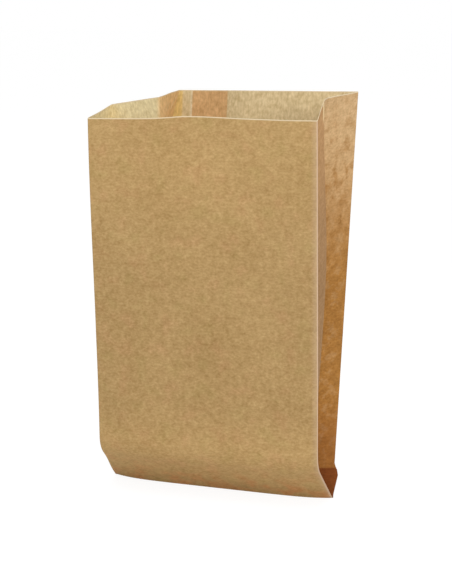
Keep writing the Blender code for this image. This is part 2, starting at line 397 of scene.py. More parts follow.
def left_folds(level, front, back):
    """The outer and the inner fold of the step. Low down they are points of a plain gusset."""
    share = step_share(level)
    outer_length, inner_length, last_length = step_lengths(level)
    inner_height = mix(front.z, back.z, mix(GUSSET_HEIGHT_SHARE, STEP_INNER_HEIGHT_SHARE, share))
    plain = fold_between(back, front, GUSSET_HALF, GUSSET_HALF, inner_height)
    rise = mix(front.z, back.z, STEP_OUTER_HEIGHT_SHARE) - front.z
    way = (plain - front).normalized().lerp(straight_back(GUSSET_HALF, rise), math.sqrt(share))
    outer = front + way.normalized() * outer_length
    inner = fold_between(back, outer, last_length, inner_length, inner_height)
    return notched(level, front, back, outer, inner)


def front_bow(level):
    """How far the middle of the front panel bows back at a level, less than nothing for forward."""
    bend_level = math.hypot(BEND_REACH_RIGHT, BEND_RISE)
    if level < bend_level:
        return mix(FOOT_BOW, BEND_BOW, level / bend_level)
    return mix(BEND_BOW, MOUTH_BOW, ease(level, bend_level, BAG_HEIGHT))


def bow_point(place, level, back_share):
    """Bend a point forward or back with the panels, most in the middle of the bag. The foot
    is straight there and curls back at its two ends."""
    across = min(abs(2.0 * place.x / PANEL_WIDTH), 1.0)
    power = mix(FOOT_BOW_POWER, BOW_POWER, ease(level, 0.0, BEND_RISE))
    back_bow = FOOT_BOW * (1.0 - ease(level, 0.0, BACK_STRAIGHT_LEVEL))
    bow = mix(front_bow(level), back_bow, back_share)
    return place + Vector((0.0, bow * (1.0 - across ** power), 0.0))


def rim_hump(place, level):
    """How far the front panel's rim is pushed up and back at a place."""
    spread = HUMP_LEFT if place < HUMP_PLACE else HUMP_RIGHT
    share = math.exp(-((place - HUMP_PLACE) / spread) ** 2) * ease(place, 0.0, HUMP_FADE)
    share *= 1.0 - ease(place, PANEL_WIDTH - HUMP_FADE, PANEL_WIDTH)
    share *= ease(level, BAG_HEIGHT - HUMP_DEPTH, BAG_HEIGHT)
    return Vector((0.0, HUMP_BACK, HUMP_RISE)) * share


def crowd(share):
    """Draw points together towards both ends of a run."""
    return share - FOLD_CROWDING * math.sin(2.0 * math.pi * share) / (2.0 * math.pi)


def flare_share(level):
    """How far the strip's right end stands out: it opens from the foot up, and closes again at its
    upper corner."""
    levels = (0.0, FLARE_PEAK, STRIP_HEIGHT, FLARE_END)
    return float(np.interp(level, levels, (0.0, 1.0, FLARE_AT_CORNER, 0.0)))


def ring_at(level, strip, seam, flare):
    """One turn of the sheet at a level: its points, the place of each along the paper, and which
    of them are at a fold."""
    front_left, front_right = front_corners(level)
    back_length = PANEL_WIDTH - STEP_BACK * step_share(level)
    back_right, back_left = back_point(level, 0.0), back_point(level, back_length)
    back_left.x -= foot_spread(level)
    behind = Vector((0.0, strip, 0.0))
    raised = behind + Vector((0.0, seam, 0.0))
    across = Vector((-EDGE_STEP, 0.0, 0.0))
    bend, gusset = right_folds(level, front_right, back_right)
    outer, inner = left_folds(level, front_left, back_left)
    seam_start = back_point(level, SEAM_FROM_RIGHT)
    seam_end = back_point(level, SEAM_FROM_RIGHT + SEAM_WIDTH)
    outer_length, inner_length, _last = step_lengths(level)
    seam_place = BACK_START + SEAM_FROM_RIGHT
    lap_place = seam_place + SEAM_WIDTH
    outer_place = SHEET_ROUND - outer_length
    # Each corner: its point, its place, how far back it lies, and the spans to the next one
    corners = (
        (front_left, 0.0, 0.0, FRONT_SPANS),
        (front_right, PANEL_WIDTH, 0.0, CHEEK_SPANS),
        (bend, PANEL_WIDTH + cheek_width(level), OUTER_FOLD_BACK, GUSSET_SPANS),
        (gusset, PANEL_WIDTH + GUSSET_HALF, INNER_FOLD_BACK, GUSSET_SPANS),
        (back_right + behind, BACK_START, 1.0, BACK_SPANS),
        (seam_start + behind, seam_place, 1.0, 1),
        (seam_start + raised + across, seam_place, 1.0, SEAM_SPANS),
        (seam_end + raised, lap_place, 1.0, 1),
        (seam_end + behind + across, lap_place, 1.0, STEP_SPANS),
        (back_left + behind, BACK_START + back_length, 1.0, GUSSET_SPANS),
        (inner, outer_place - inner_length, INNER_FOLD_BACK, STEP_SPANS),
        (outer, outer_place, OUTER_FOLD_BACK, STEP_SPANS),
        (front_left, SHEET_ROUND, 0.0, 0),
    )
    points, places, folds = [], [], []
    for here, after in zip(corners, corners[1:]):
        start, start_place, start_back, spans = here
        end, end_place, end_back, _spans = after
        folds.append(len(points))
        for index in range(spans):
            share = crowd(index / spans)
            place = mix(start_place, end_place, share)
            point = bow_point(start.lerp(end, share), level, mix(start_back, end_back, share))
            near = max(0.0, 1.0 - abs(place - BACK_START) / FLARE_REACH)
            point += Vector((flare * flare_share(level) * near, 0.0, 0.0)) + rim_hump(place, level)
            points.append(point)
            places.append(place)
    return points, places + [SHEET_ROUND], folds


def sheet_levels():
    """Levels from where the layers part up to the mouth."""
    levels = list(np.linspace(CLOSED_LEVEL, STRIP_HEIGHT, STRIP_ROWS))
    count = round((BAG_HEIGHT - STRIP_HEIGHT) / LEVEL_STEP)
    levels += list(np.linspace(STRIP_HEIGHT + STRIP_EDGE, BAG_HEIGHT, count))
    return levels


def round_folds(points, folds):
    """Ease the sheet round each fold, so that it bends there and doesn't break."""
    eased = points.copy()
    for fold in folds:
        before, after = points[:, fold - 1], points[:, (fold + 1) % points.shape[1]]
        eased[:, fold] = points[:, fold] * (1.0 - FOLD_ROUNDING) + (before + after) * (FOLD_ROUNDING / 2.0)
    return eased


def sheet_normals(points):
    """Outward directions of the sheet, point by point."""
    round_way = np.roll(points, -1, axis=1) - np.roll(points, 1, axis=1)
    up_way = np.gradient(points, axis=0)
    normals = np.cross(round_way, up_way)
    return normals / np.maximum(np.linalg.norm(normals, axis=2, keepdims=True), TINY)


def fold_distance(place, level):
    """Distance along the paper to the nearest fold."""
    outer_length, inner_length, _last = step_lengths(level)
    folds = (0.0, PANEL_WIDTH, PANEL_WIDTH + cheek_width(level), PANEL_WIDTH + GUSSET_HALF, BACK_START,
             BACK_END - STEP_BACK * step_share(level), SHEET_ROUND - outer_length - inner_length,
             SHEET_ROUND - outer_length, SHEET_ROUND)
    return min(abs(place - fold) for fold in folds)


def wave_height(place, level, settings):
    """How far the sheet stands out of its plain shape at a place."""
    free = ease(fold_distance(place, level), 0.0, WAVE_FROM_FOLD) * ease(level, *WAVE_LEVELS)
    spot = Vector((place, level, 0.0))
    second_wave = noise.noise(spot * SECOND_CELLS + Vector(SECOND_OFFSET))
    long_wave = noise.noise(spot * LONG_CELLS) + SECOND_SHARE * second_wave
    short_wave = noise.noise(Vector((place * SHORT_CELLS, level * SHORT_CELLS, SHORT_SLICE)))
    near_mouth = ease(level, BAG_HEIGHT - MOUTH_WAVE_DEPTH, BAG_HEIGHT)
    mouth = noise.noise(Vector((place * MOUTH_CELLS, MOUTH_SLICE, 0.0))) * near_mouth
    return free * (settings.wave * long_wave + settings.crumple * short_wave + settings.mouth_wave * mouth)


def sheet_thickness(place, level, settings):
    """The sheet's thickness, pressed thin where the layers meet at a fold near the foot. The gap
    between two of the gusset's layers grows with the level and with the distance to the fold."""
    depth = level * (BEND_REACH_RIGHT / math.hypot(BEND_REACH_RIGHT, BEND_RISE) + math.sin(BACK_LEAN))
    gap = depth / 3.0 * fold_distance(place, level) / GUSSET_HALF
    free = settings.sheet * ease(level, *PRESSED_LEVELS)
    return max(min(settings.sheet, PRESSED_SHARE * gap), free, THINNEST)


def fold_sheet(settings):
    """Points of the sheet's outer and inner face, with each point's place and level."""
    levels = sheet_levels()
    # Below the closed level the layers lie pressed together, and the sheet has no inner face
    low = [0.0, CLOSED_LEVEL / 2]
    rows, places, folds = [], [], []
    for level in low + levels:
        strip = STRIP_THICKNESS if level <= STRIP_HEIGHT else 0.0
        seam = 0.0 if level <= STRIP_HEIGHT else settings.sheet
        row, row_places, folds = ring_at(level, strip, seam, settings.strip_flare)
        rows.append(row)
        places.append(row_places)
    points = round_folds(np.array([[tuple(p) for p in row] for row in rows]), folds)
    normals = sheet_normals(points)
    heights = np.array([[wave_height(p, level, settings) for p in row[:-1]]
                        for row, level in zip(places, low + levels)])
    outside = points + np.array(TO_ORIGIN) + normals * heights[:, :, None]
    thickness = np.array([[sheet_thickness(p, level, settings) for p in row[:-1]]
                          for row, level in zip(places[len(low):], levels)])
    inside = outside[len(low):] - normals[len(low):] * thickness[:, :, None]
    return outside, inside, np.array(places), np.array(low + levels)


def sheet_faces(outside, inside):
    """Quads of both faces of the sheet and of its rim, and the two caps at the foot. Each quad's
    tag holds its row, its column and its side."""
    rows, columns = outside.shape[:2]
    inner_rows = inside.shape[0]
    first_inner = rows * columns
    faces, tags = [], []
    for row in range(rows - 1):
        for column in range(columns):
            after = (column + 1) % columns
            faces.append((row * columns + column, row * columns + after,
                          (row + 1) * columns + after, (row + 1) * columns + column))
            tags.append((row, column, OUTER))
    for row in range(inner_rows - 1):
        for column in range(columns):
            after = (column + 1) % columns
            base = first_inner + row * columns
            faces.append((base + after, base + column, base + columns + column, base + columns + after))
            tags.append((row + rows - inner_rows, column, INNER))
    top = (rows - 1) * columns
    inner_top = first_inner + (inner_rows - 1) * columns
    for column in range(columns):
        after = (column + 1) % columns
        faces.append((top + column, top + after, inner_top + after, inner_top + column))
        tags.append((rows - 1, column, RIM))
    faces.append(tuple(reversed(range(columns))))
    faces.append(tuple(range(first_inner, first_inner + columns)))
    return faces, tags


def sheet_mesh(settings):
    """The sheet as one closed mesh. Each face corner knows its place, level and side."""
    outside, inside, places, levels = fold_sheet(settings)
    faces, tags = sheet_faces(outside, inside)
    vertices = np.concatenate([outside.reshape(-1, 3), inside.reshape(-1, 3)])
    mesh = bpy.data.meshes.new("kraft_bag")
    mesh.from_pydata(vertices.tolist(), [], faces)
    paper = mesh.attributes.new("paper", "FLOAT_VECTOR", "CORNER")
    corners = []
    for row, column, side in tags:
        here = (row, column)
        beside = (row, column + 1)
        above = (row + 1, column)
        both = (row + 1, column + 1)
        order = {OUTER: (here, beside, both, above), INNER: (beside, here, above, both),
                 RIM: (here, beside, beside, here)}
        for up, along in order[side]:
            up = min(up, len(levels) - 1)
            corners.append((places[up][along], levels[up], side))
    # The caps come last. They lie inside the pressed foot and need no place
    corners += [(0.0, 0.0, 0.0)] * (len(mesh.loops) - len(corners))
    paper.data.foreach_set("vector", np.array(corners, dtype=np.float32).ravel())
    work = bmesh.new()
    work.from_mesh(mesh)
    bmesh.ops.triangulate(work, faces=[face for face in work.faces if len(face.verts) > 4])
    work.to_mesh(mesh)
    work.free()
    mesh.shade_smooth()
    mesh.set_sharp_from_angle(angle=SHARP_ANGLE)
    return mesh


class Wiring:
    """Short calls that add shader nodes and join them."""

    def __init__(self, tree):
        self.tree = tree

    def add(self, kind, **values):
        """A new node with its own settings."""
        node = self.tree.nodes.new(kind)
        for name, value in values.items():
            setattr(node, name, value)
        return node

    def put(self, socket, value):
        """Link a socket to another one, or give it a value."""
        if isinstance(value, bpy.types.NodeSocket):
            self.tree.links.new(value, socket)
        else:
            socket.default_value = value

    def math(self, operation, first, second=0.0, third=0.0, clamp=False):
        """Work out one value from up to three."""
        node = self.add("ShaderNodeMath", operation=operation, use_clamp=clamp)
        for socket, value in zip(node.inputs, (first, second, third)):
            self.put(socket, value)
        return node.outputs[0]

    def band(self, value, low, high):
        """1 where the value is between low and high, else 0."""
        above = self.math("GREATER_THAN", value, low)
        return self.math("MULTIPLY", above, self.math("LESS_THAN", value, high))

    def ramp(self, value, start, end, low=0.0, high=1.0):
        """Go smoothly from low to high as the value goes from start to end."""
        node = self.add("ShaderNodeMapRange", interpolation_type="SMOOTHSTEP")
        for name, given in (("Value", value), ("From Min", start), ("From Max", end), ("To Min", low),
                            ("To Max", high)):
            self.put(node.inputs[name], given)
        return node.outputs["Result"]

    def line(self, value, centre, width):
        """1 on a line, falling to 0 at a width from it."""
        distance = self.math("ABSOLUTE", self.math("SUBTRACT", value, centre))
        return self.ramp(distance, 0.0, width, 1.0, 0.0)

    def moved(self, vector, offset):
        """The paper's coordinates, moved to another part of a noise."""
        node = self.add("ShaderNodeVectorMath", operation="ADD")
        self.put(node.inputs[0], vector)
        node.inputs[1].default_value = offset
        return node.outputs["Vector"]

    def stretched(self, vector, scale):
        """The paper's coordinates, scaled so that a noise is longer one way."""
        node = self.add("ShaderNodeMapping")
        self.put(node.inputs["Vector"], vector)
        node.inputs["Scale"].default_value = scale
        return node.outputs["Vector"]

    def noise(self, vector, scale, detail=2.0, roughness=0.5):
        """Soft noise from 0 to 1, about a half in the middle."""
        node = self.add("ShaderNodeTexNoise")
        self.put(node.inputs["Vector"], vector)
        node.inputs["Scale"].default_value = scale
        node.inputs["Detail"].default_value = detail
        node.inputs["Roughness"].default_value = roughness
        return node.outputs["Fac"]

    def straight_view(self):
        """1 for what the camera sees, also in a mirror or through glass, else 0."""
        path = self.add("ShaderNodeLightPath")
        seen = self.math("MAXIMUM", path.outputs["Is Camera Ray"], path.outputs["Is Glossy Ray"])
        return self.math("MAXIMUM", seen, path.outputs["Is Transmission Ray"])

    def blend(self, share, first, second, kind="MIX"):
        """Go from the first colour to the second by a share."""
        node = self.add("ShaderNodeMix", data_type="RGBA", blend_type=kind, clamp_factor=True)
        self.put(node.inputs["Factor"], share)
        self.put(node.inputs[6], first)
        self.put(node.inputs[7], second)
        return node.outputs[2]


def opaque(colour, factor=1.0):
    """A colour times a factor, with full alpha."""
    return (colour[0] * factor, colour[1] * factor, colour[2] * factor, 1.0)


# Noise of the paint: cells to a metre, detail and, where it isn't a half, roughness
CLOUD_NOISE = (26.0, 3.0)
PATCH_NOISE = (62.0, 2.0)
SPOT_NOISE = (115.0, 3.0, 0.6)
MOTTLE_NOISE = (190.0, 2.0)
FIBRE_NOISE = (420.0, 2.0, 0.6)
FLECK_NOISE = (250.0, 2.0, 0.6)
PATCH_OFFSET = (3.0, 1.0, 0.0)
SPOT_OFFSET = (5.0, 2.0, 0.0)
FIBRE_STRETCH = (1.0, 1.5, 1.0)
FLECK_STRETCH = (2.4, 1.0, 1.0)

# Ramps of the outside's paint. Each goes from one noise value, level, depth or distance to another,
# and from one share of the paint to another where the shares aren't 0 and 1
STAIN_PATCHES = (0.52, 0.72, 0.0, 0.40)
OLIVE_PATCHES = (0.46, 0.30, 0.0, 0.42)
FOOT_STAIN_LEVELS = (0.045, 0.0)
FOOT_STAIN_PATCHES = (0.42, 0.66)
LAP_LEVELS = (STRIP_HEIGHT, STRIP_HEIGHT + 0.0004, 0.0, 0.6)
# Painted shade down the gussets' notch, and dark spots that grow lower down
GUSSET_SHADE_DEPTHS = (0.008, 0.145)
DARK_SPOTS = (0.48, 0.66, 0.0, 0.6)
DARK_SPOT_DEPTHS = (0.0, 0.06, 0.45, 1.0)
PALE_SPOTS = (0.50, 0.34, 0.0, 0.25)
CHEEK_BEND = (CHEEK_START, CHEEK_FULL, PANEL_WIDTH + GUSSET_STUB, PANEL_WIDTH + CHEEK_DEPTH)
CHEEK_EDGE = (0.0008, -0.0008)
# Painted shade on the cheek, darker lower down
CHEEK_PAINTED_SHADE_DEPTHS = (0.02, 0.09)
# Painted highlight by the cheek's bend near the mouth
CHEEK_HIGHLIGHT_DEPTHS = (0.016, 0.009)
# Painted shade in the gussets towards the foot, then painted shade with a paste stain on the pasted strip
GUSSET_FOOT_SHADE_LEVELS = (0.085, 0.040, 0.0, 0.45)
PASTE_STAIN_AND_SHADE_LEVELS = (STRIP_HEIGHT + 0.0016, STRIP_HEIGHT + 0.0004)

# Ramps of the worn and highlighted fold, of the cut edge's painted highlight and of the painted light by
# level, in the same way. The ridge's own gives half its width
RIDGE_HALVES = (0.07, 0.02, 0.0010, 0.0026)
RIDGE_FADE = (0.35, 1.0, 0.9, 0.0)
HALO_FADE = (0.0, 0.006, 0.3, 0.0)
# Painted highlight with pale cut fibres, in a band just below the mouth
CUT_EDGE_HIGHLIGHT_DEPTHS = (0.0009, 0.0004)
# Painted light: the outer face lighter towards the top and near the foot
PAINTED_LIGHT_TOP_LEVELS = (0.17, 0.29, 0.0, 0.12)
PAINTED_LIGHT_FOOT_LEVELS = (0.10, 0.045, 0.0, 0.15)

# Other measures of the paint, in metres along the paper, and factors of its colours
FOLD_MARGIN = 0.0004
LAP_LINE_WIDTH = 0.0007
# Painted highlight by the cheek's bend: how far before the bend and how wide
CHEEK_HIGHLIGHT_IN = 0.006
CHEEK_HIGHLIGHT_WIDTH = 0.003
LAP_CUT_PAST = 0.0004
LAP_CUT_WIDTH = 0.0011
LAP_CUT_SHARE = 0.6
CREASE_SOFTNESS = 0.0012
STEP_EDGE_SOFTNESS = 0.003
OCHRE_START = 0.0065
OCHRE_FULL = 0.0085
INSIDE_CLOUDS = (0.3, 0.7)
INSIDE_DARKER = 0.95
INSIDE_LIGHTER = 1.05
DARK_SPOT_FACTOR = 0.84
CHEEK_PAINTED_SHADE_FACTOR = 0.82
CHEEK_HIGHLIGHT_FACTOR = 1.15

# How much each noise changes the tone, and how much of that red, green and blue take
GRAIN_AMOUNT = 0.72
MOTTLE_AMOUNT = 0.50
CLOUD_AMOUNT = 0.30
TONE_CHANNELS = (0.95, 1.15, 1.60)

# Painted highlights of wrinkle lines by the step's crease: start, width, upper depth, lower depth and
# strength
WRINKLE_HIGHLIGHTS = (
    (-0.0020, 0.0010, 0.004, 0.013, 0.8),
    (0.0085, 0.0011, 0.007, 0.013, 0.55),
    (0.0150, 0.0010, 0.006, 0.011, 0.4),
)
WRINKLE_HIGHLIGHT_SLANT = 1.05

# The paper's surface
BUMP_STRENGTH = 0.6
BUMP_DISTANCE = 0.0002
PAPER_ROUGHNESS = 0.82
PAPER_SPECULAR = 0.25


class SheetPaint:
    """The paint of the sheet, laid out by place and level along the paper."""

    def __init__(self, tree, settings):
        wire = self.wire = Wiring(tree)
        self.settings = settings
        attribute = wire.add("ShaderNodeAttribute", attribute_name="paper")
        self.paper = attribute.outputs["Vector"]
        split = wire.add("ShaderNodeSeparateXYZ")
        wire.put(split.inputs[0], self.paper)
        self.place, self.level, side = split.outputs
        self.inside = wire.band(side, INNER - 0.5, INNER + 0.5)
        self.rim = wire.math("GREATER_THAN", side, RIM - 0.5)
        self.depth = wire.math("SUBTRACT", BAG_HEIGHT, self.level)
        step = wire.math("DIVIDE", wire.math("SUBTRACT", self.level, STEP_START), BAG_HEIGHT - STEP_START)
        self.step = wire.math("MAXIMUM", step, 0.0)
        self.clouds = wire.noise(self.paper, *CLOUD_NOISE)
        self.patches = wire.noise(wire.moved(self.paper, PATCH_OFFSET), *PATCH_NOISE)
        self.spots = wire.noise(wire.moved(self.paper, SPOT_OFFSET), *SPOT_NOISE)
        self.mottle = wire.noise(self.paper, *MOTTLE_NOISE)
        self.fibres = wire.noise(wire.stretched(self.paper, FIBRE_STRETCH), *FIBRE_NOISE)
        self.flecks = wire.noise(wire.stretched(self.paper, FLECK_STRETCH), *FLECK_NOISE)

    def shifted(self, start, travel):
        """A fold's place, which moves on by travel as the step opens towards the mouth."""
        return self.wire.math("MULTIPLY_ADD", self.step, travel, start)

    def from_fold(self, start, travel):
        """Distance past a fold that moves with the step, less than nothing before it."""
        return self.wire.math("SUBTRACT", self.place, self.shifted(start, travel))

    def outside(self):
        """Brown with pinker and olive clouds, stained by the foot, and a pale line at the lap."""
        wire, settings = self.wire, self.settings
        plain = opaque(settings.outside_colour)
        colour = wire.blend(wire.ramp(self.patches, *STAIN_PATCHES), plain, opaque(settings.stain_colour))
        colour = wire.blend(wire.ramp(self.patches, *OLIVE_PATCHES), colour, opaque(settings.olive_colour))
        near_foot = wire.math("MULTIPLY", wire.ramp(self.level, *FOOT_STAIN_LEVELS),
                              wire.ramp(self.patches, *FOOT_STAIN_PATCHES))
        colour = wire.blend(near_foot, colour, opaque(settings.foot_colour))
        lap = wire.line(self.place, BACK_START + SEAM_FROM_RIGHT, LAP_LINE_WIDTH)
        lap = wire.math("MULTIPLY", lap, wire.ramp(self.level, *LAP_LEVELS))
        colour = wire.blend(lap, colour, opaque(settings.cut_edge_and_highlight_colour))
        return wire.blend(self.gussets(), colour, self.gusset_paint())

    def gussets(self):
        """1 on the two gussets, else 0."""
        wire = self.wire
        right = wire.band(self.place, PANEL_WIDTH + FOLD_MARGIN, BACK_START)
        return wire.math("ADD", right, wire.math("GREATER_THAN", self.place, BACK_END), clamp=True)

    def gusset_paint(self):
        """Painted light and shade on the gussets: pale as if lit near the mouth, and darker, more orange
        painted shade down the notch, with random dark and pale spots. Pinker on the cheek, which darkens
        lower down as painted shade and has a painted highlight by its bend near the mouth. Darkest near the
        foot: painted shade in the recess, with a paste stain where the strip is pasted.
        """
        wire, settings = self.wire, self.settings
        high, low = opaque(settings.gusset_lit_colour), opaque(settings.gusset_shaded_colour)
        # Painted shade: from the lit-looking colour at the mouth to the shaded one lower down
        colour = wire.blend(wire.ramp(self.depth, *GUSSET_SHADE_DEPTHS), high, low)
        dark = wire.math("MULTIPLY", wire.ramp(self.spots, *DARK_SPOTS),
                         wire.ramp(self.depth, *DARK_SPOT_DEPTHS))
        colour = wire.blend(dark, colour, opaque(settings.gusset_shaded_colour, DARK_SPOT_FACTOR))
        colour = wire.blend(wire.ramp(self.spots, *PALE_SPOTS), colour, high)
        bend = wire.ramp(self.level, *CHEEK_BEND)
        cheek = wire.ramp(wire.math("SUBTRACT", self.place, bend), *CHEEK_EDGE)
        cheek = wire.math("MULTIPLY", cheek, wire.math("LESS_THAN", self.place, BACK_START))
        # Painted shade: the cheek's pinker brown grows darker lower down
        flat = wire.blend(wire.ramp(self.depth, *CHEEK_PAINTED_SHADE_DEPTHS), opaque(settings.cheek_colour),
                          opaque(settings.cheek_colour, CHEEK_PAINTED_SHADE_FACTOR))
        colour = wire.blend(cheek, colour, flat)
        # Painted shade: the gussets darken towards the foot into the dark red brown
        pasted = opaque(settings.paste_stain_and_shade_colour)
        colour = wire.blend(wire.ramp(self.level, *GUSSET_FOOT_SHADE_LEVELS), colour, pasted)
        # Painted highlight: a pale line just before the cheek's bend, near the mouth
        cheek_highlight_place = wire.math("SUBTRACT", bend, CHEEK_HIGHLIGHT_IN)
        worn = wire.math("MULTIPLY", wire.line(self.place, cheek_highlight_place, CHEEK_HIGHLIGHT_WIDTH),
                         wire.ramp(self.depth, *CHEEK_HIGHLIGHT_DEPTHS))
        colour = wire.blend(worn, colour, opaque(settings.inside_and_through_light_colour, CHEEK_HIGHLIGHT_FACTOR))
        # On the pasted strip: full dark red brown, painted shade with a paste stain
        return wire.blend(wire.ramp(self.level, *PASTE_STAIN_AND_SHADE_LEVELS), colour, pasted)

    def inner(self):
        """Pale inside, partly the paper's own lighter inner face and partly painted light that stands in
        for light coming through the paper. Palest on the left gusset's inner face as painted light, with a
        pink patch on the step's face and a yellow-brown band by the step's back crease that are painted
        pale for the light through the paper. The seam is darker where its two layers let less light
        through, with painted wrinkle highlights and a pale cut edge line at the lap.
        """
        wire, settings = self.wire, self.settings
        # The inner face: partly its own lighter colour, partly painted light for the light through the
        # paper
        colour = wire.blend(wire.ramp(self.clouds, *INSIDE_CLOUDS),
                            opaque(settings.inside_and_through_light_colour, INSIDE_DARKER),
                            opaque(settings.inside_and_through_light_colour, INSIDE_LIGHTER))
        seam_start = BACK_START + SEAM_FROM_RIGHT
        seam_end = seam_start + SEAM_WIDTH
        past_crease = self.from_fold(BACK_END, -STEP_BACK)
        past_edge = self.from_fold(SHEET_ROUND - GUSSET_HALF, -GUSSET_HALF)
        pink = wire.math("MULTIPLY", wire.ramp(past_crease, -CREASE_SOFTNESS, CREASE_SOFTNESS),
                         wire.ramp(past_edge, STEP_EDGE_SOFTNESS, -STEP_EDGE_SOFTNESS))
        ochre = wire.math("MULTIPLY", wire.ramp(self.place, seam_end + OCHRE_START, seam_end + OCHRE_FULL),
                          wire.ramp(past_crease, CREASE_SOFTNESS, -CREASE_SOFTNESS))
        # Painted light: the left gusset's inner face the palest
        colour = wire.blend(wire.ramp(past_edge, -STEP_EDGE_SOFTNESS, STEP_EDGE_SOFTNESS), colour,
                            opaque(settings.left_inside_lit_colour))
        # Pink patch on the step's face, painted pale for light through the paper
        colour = wire.blend(pink, colour, opaque(settings.pink_through_light_colour))
        # Yellow-brown band beside the crease, painted pale for light through the paper
        colour = wire.blend(ochre, colour, opaque(settings.ochre_colour))
        # The seam's double layer: darker, as less painted light comes through two layers
        colour = wire.blend(wire.band(self.place, seam_start, seam_end), colour,
                            opaque(settings.layer_colour))
        lap = wire.math("MULTIPLY", wire.line(self.place, seam_end + LAP_CUT_PAST, LAP_CUT_WIDTH),
                        LAP_CUT_SHARE)
        # Painted highlights of wrinkle lines in the pink patch, and the lap's pale cut edge line
        wrinkle_highlights = wire.math("MULTIPLY", self.wrinkle_highlights(past_crease), pink)
        return wire.blend(wire.math("MAXIMUM", wrinkle_highlights, lap), colour, opaque(settings.cut_edge_and_highlight_colour))

    def wrinkle_highlights(self, past_crease):
        """Painted highlights of slanting wrinkle lines that run down from the crease by the step."""
        wire = self.wire
        slanted = wire.math("SUBTRACT", past_crease, wire.math("MULTIPLY", self.depth, WRINKLE_HIGHLIGHT_SLANT))
        total = None
        for start, width, upper, lower, strength in WRINKLE_HIGHLIGHTS:
            one = wire.math("MULTIPLY", wire.line(slanted, start, width),
                            wire.band(self.depth, upper, lower))
            one = wire.math("MULTIPLY", one, strength)
            total = one if total is None else wire.math("MAXIMUM", total, one)
        return total

    def swing(self, value, amount):
        """How far a noise value is from its middle, times an amount."""
        return self.wire.math("MULTIPLY", self.wire.math("SUBTRACT", value, 0.5), amount)

    def tone(self):
        """Light and dark of the fibres, as a colour to multiply with. Pale fibres are greyer too,
        so blue changes most and red least. On the outer face it also holds painted light, lighter towards
        the top and near the foot."""
        wire = self.wire
        fine = self.swing(wire.blend(self.inside, self.fibres, self.flecks), GRAIN_AMOUNT)
        middling = self.swing(self.mottle, MOTTLE_AMOUNT)
        broad = self.swing(self.clouds, CLOUD_AMOUNT)
        # Painted light: lighter towards the top and near the foot, on the outer face only
        painted_light = wire.math("ADD", wire.ramp(self.level, *PAINTED_LIGHT_TOP_LEVELS),
                          wire.ramp(self.level, *PAINTED_LIGHT_FOOT_LEVELS))
        painted_light = wire.math("MULTIPLY_ADD", painted_light, wire.math("SUBTRACT", 1.0, self.inside), 1.0)
        change = wire.math("ADD", fine, wire.math("ADD", middling, broad))
        tone = wire.add("ShaderNodeCombineXYZ")
        for socket, amount in zip(tone.inputs, TONE_CHANNELS):
            wire.put(socket, wire.math("MULTIPLY_ADD", change, amount, painted_light))
        return tone.outputs[0]

    def wear(self, colour):
        """Pale worn fibres and a painted highlight on the front right fold, wider by the foot, with a soft
        painted highlight beside it on the front panel, and pale cut fibres with a painted highlight at the
        cut edge.
        """
        wire, settings = self.wire, self.settings
        across = wire.math("ABSOLUTE", wire.math("SUBTRACT", self.place, PANEL_WIDTH))
        outer = wire.math("SUBTRACT", 1.0, self.inside)
        # Painted highlight with pale worn fibres along the fold, and a soft painted halo beside it on the
        # front panel
        half = wire.ramp(self.level, *RIDGE_HALVES)
        ridge = wire.ramp(wire.math("DIVIDE", across, half), *RIDGE_FADE)
        halo = wire.ramp(across, *HALO_FADE)
        halo = wire.math("MULTIPLY", halo, wire.math("LESS_THAN", self.place, PANEL_WIDTH))
        both = wire.math("MULTIPLY", wire.math("MAXIMUM", ridge, halo), outer)
        colour = wire.blend(both, colour, opaque(settings.worn_fold_and_highlight_colour))
        # The mouth's rim and a band just below it: pale cut fibres and a painted highlight
        edge = wire.ramp(self.depth, *CUT_EDGE_HIGHLIGHT_DEPTHS)
        return wire.blend(wire.math("MAXIMUM", edge, self.rim), colour, opaque(settings.cut_edge_and_highlight_colour))

    def colour(self):
        """The whole paint, for the shader's base colour."""
        colour = self.wire.blend(self.inside, self.outside(), self.inner())
        colour = self.wire.blend(1.0, colour, self.tone(), "MULTIPLY")
        return self.wear(colour)

    def bump(self):
        """The fibres' fine relief."""
        bump = self.wire.add("ShaderNodeBump")
        bump.inputs["Strength"].default_value = BUMP_STRENGTH
        bump.inputs["Distance"].default_value = BUMP_DISTANCE
        height = self.wire.math("ADD", self.fibres, self.mottle)
        self.wire.put(bump.inputs["Height"], height)
        return bump.outputs["Normal"]


def kraft_material(settings):
    """Kraft paper: mottled fibres, painted light and shade, folds pale with wear and a painted
    highlight, pale cut edges with a painted highlight, and darker double layers where less light comes
    through.
    """
    material = bpy.data.materials.new("kraft_paper_sheet")
    material.use_nodes = True
    shader = material.node_tree.nodes["Principled BSDF"]
    paint = SheetPaint(material.node_tree, settings)
    paint.wire.put(shader.inputs["Base Color"], paint.colour())
    paint.wire.put(shader.inputs["Normal"], paint.bump())
    shader.inputs["Roughness"].default_value = PAPER_ROUGHNESS
    shader.inputs["Specular IOR Level"].default_value = PAPER_SPECULAR
    return material


# The stage: the camera's sensor in millimetres, the floor and the two lamps
SENSOR = 36.0
WHITE = (1.0, 1.0, 1.0, 1.0)
FLOOR_SIZE = 12.0
FLOOR_DROP = 0.0002
FLOOR_OWN_SHARE = 0.8
FLOOR_OWN_STRENGTH = 1.12
KEY_PLACE = (1.05, -1.25, 0.95)
KEY_WIDTH = 1.1
TOP_PLACE = (0.1, -0.35, 1.6)
TOP_WIDTH = 1.2


